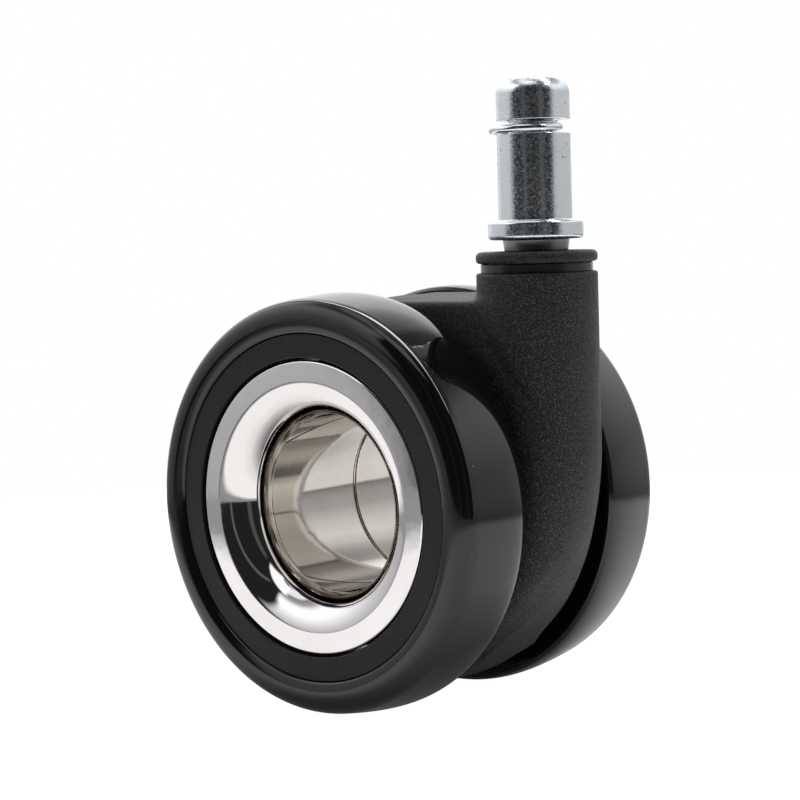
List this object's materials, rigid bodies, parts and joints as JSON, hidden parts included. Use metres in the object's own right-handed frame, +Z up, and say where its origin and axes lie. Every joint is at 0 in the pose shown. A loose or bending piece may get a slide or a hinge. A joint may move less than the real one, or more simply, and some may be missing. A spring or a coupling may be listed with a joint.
{
  "type": "chair caster wheel",
  "caption": "Swivelling office chair caster with a grip-ring stem, two glossy black treads and an open bright hub that can be seen through.",
  "frame": {"origin": "stem axis at the top face of the stem's flange, which the chair leg rests on", "axes": "+Z up along the stem; the wheels trail towards -X; the axle is parallel to Y, right wheel at -Y"},
  "size_m": [0.0671, 0.0466, 0.0942],
  "materials": {
    "zinc_steel": "bright zinc plating with fine turning marks",
    "spring_steel": "drawn spring wire",
    "grained_plastic": "black glass-filled nylon, fine moulded grain",
    "bush_plastic": "smooth black acetal",
    "nickel": "polished nickel plating",
    "trim_chrome": "mirror chrome",
    "bearing_steel": "ground bearing steel",
    "cage_nylon": "natural nylon",
    "seal_rubber": "matt black rubber",
    "rim_plastic": "matt black nylon",
    "tread": "glossy black polyurethane"
  },
  "bodies": {
    "stem": {"stem": "zinc_steel", "stem_retaining_ring": "spring_steel", "swivel_cap": "grained_plastic"},
    "grip_ring": {"grip_ring": "spring_steel"},
    "housing": {"housing": "grained_plastic", "thrust_washer": "zinc_steel", "swivel_bush": "bush_plastic", "axle_tube": "zinc_steel", "right_bore_sleeve": "nickel", "right_trim_ring": "trim_chrome", "right_circlip": "spring_steel", "right_inner_race": "bearing_steel", "left_bore_sleeve": "nickel", "left_trim_ring": "trim_chrome", "left_circlip": "spring_steel", "left_inner_race": "bearing_steel"},
    "right_wheel": {"right_tyre": "tread", "right_wheel_rim": "rim_plastic", "right_outer_race": "bearing_steel", "right_inboard_seal": "seal_rubber", "right_outboard_seal": "seal_rubber"},
    "right_ball_set": {"right_bearing_balls": "bearing_steel", "right_ball_cage": "cage_nylon"},
    "left_wheel": {"left_tyre": "tread", "left_wheel_rim": "rim_plastic", "left_outer_race": "bearing_steel", "left_inboard_seal": "seal_rubber", "left_outboard_seal": "seal_rubber"},
    "left_ball_set": {"left_bearing_balls": "bearing_steel", "left_ball_cage": "cage_nylon"}
  },
  "joints": [
    {"name": "stem_swivel", "type": "hinge", "parent": "stem", "child": "housing", "pos_m": [0, 0, 0], "axis": [0, 0, 1], "continuous": true},
    {"name": "grip_ring_float", "type": "slide", "parent": "stem", "child": "grip_ring", "axis": [0.7593, 0.6508, 0], "range_m": [0, 0.0018]},
    {"name": "right_wheel_spin", "type": "hinge", "parent": "housing", "child": "right_wheel", "pos_m": [-0.0265, 0, -0.0416], "axis": [0, 1, 0], "continuous": true},
    {"name": "right_ball_orbit", "type": "hinge", "parent": "housing", "child": "right_ball_set", "pos_m": [-0.0265, 0, -0.0416], "axis": [0, 1, 0], "continuous": true},
    {"name": "left_wheel_spin", "type": "hinge", "parent": "housing", "child": "left_wheel", "pos_m": [-0.0265, 0, -0.0416], "axis": [0, 1, 0], "continuous": true},
    {"name": "left_ball_orbit", "type": "hinge", "parent": "housing", "child": "left_ball_set", "pos_m": [-0.0265, 0, -0.0416], "axis": [0, 1, 0], "continuous": true}
  ],
  "couplings": [
    {"joint": "right_ball_orbit", "follows": "right_wheel_spin", "ratio": 0.5415},
    {"joint": "left_ball_orbit", "follows": "left_wheel_spin", "ratio": 0.5415}
  ]
}
